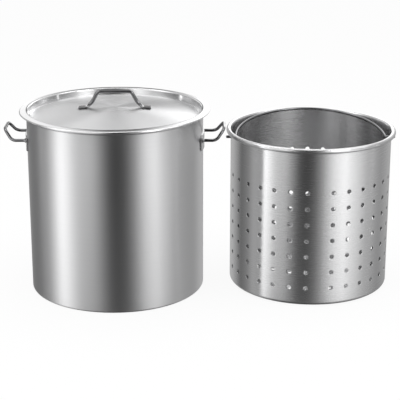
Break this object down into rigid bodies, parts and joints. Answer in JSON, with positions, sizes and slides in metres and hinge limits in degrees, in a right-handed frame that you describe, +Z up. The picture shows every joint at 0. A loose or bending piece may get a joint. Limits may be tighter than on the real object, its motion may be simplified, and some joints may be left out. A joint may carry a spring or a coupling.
{
  "type": "stockpot with strainer basket",
  "caption": "Tall stainless steel stockpot with a lift-off domed lid and wire side handles, and a perforated strainer basket with a swinging bail standing beside it.",
  "frame": {"origin": "On the pot's axis, on the surface that the pot and the basket stand on.", "axes": "+Z up along the pot's axis, +X from the pot towards the basket, -Y to the front."},
  "size_m": [0.8928, 0.4375, 0.4613],
  "materials": {
    "pot_steel": "satin stainless steel, brushed round the wall",
    "lid_steel": "satin stainless steel, brushed in circles",
    "basket_steel": "bright stainless steel, finely brushed round the wall",
    "rod_steel": "polished stainless steel rod",
    "plate_steel": "satin stainless steel plate"
  },
  "bodies": {
    "pot": {"pot_wall": "pot_steel", "pot_base": "pot_steel", "handle_plate_left": "plate_steel", "handle_plate_right": "plate_steel", "handle_left": "rod_steel", "handle_right": "rod_steel"},
    "lid": {"lid_pan": "lid_steel", "lid_handle": "rod_steel"},
    "basket": {"basket_wall": "basket_steel", "basket_base": "basket_steel"},
    "bail": {"basket_bail": "rod_steel"}
  },
  "joints": [
    {"name": "lid_lift", "type": "slide", "parent": "pot", "child": "lid", "axis": [0, 0, 1], "range_m": [0, 0.2]},
    {"name": "basket_lift", "type": "slide", "parent": "pot", "child": "basket", "axis": [0, 0, 1], "range_m": [0, 0.48]},
    {"name": "bail_swing", "type": "hinge", "parent": "basket", "child": "bail", "pos_m": [0.4475, 0.028, 0.344], "axis": [1, 0, 0], "range_deg": [0, 165.5]}
  ]
}
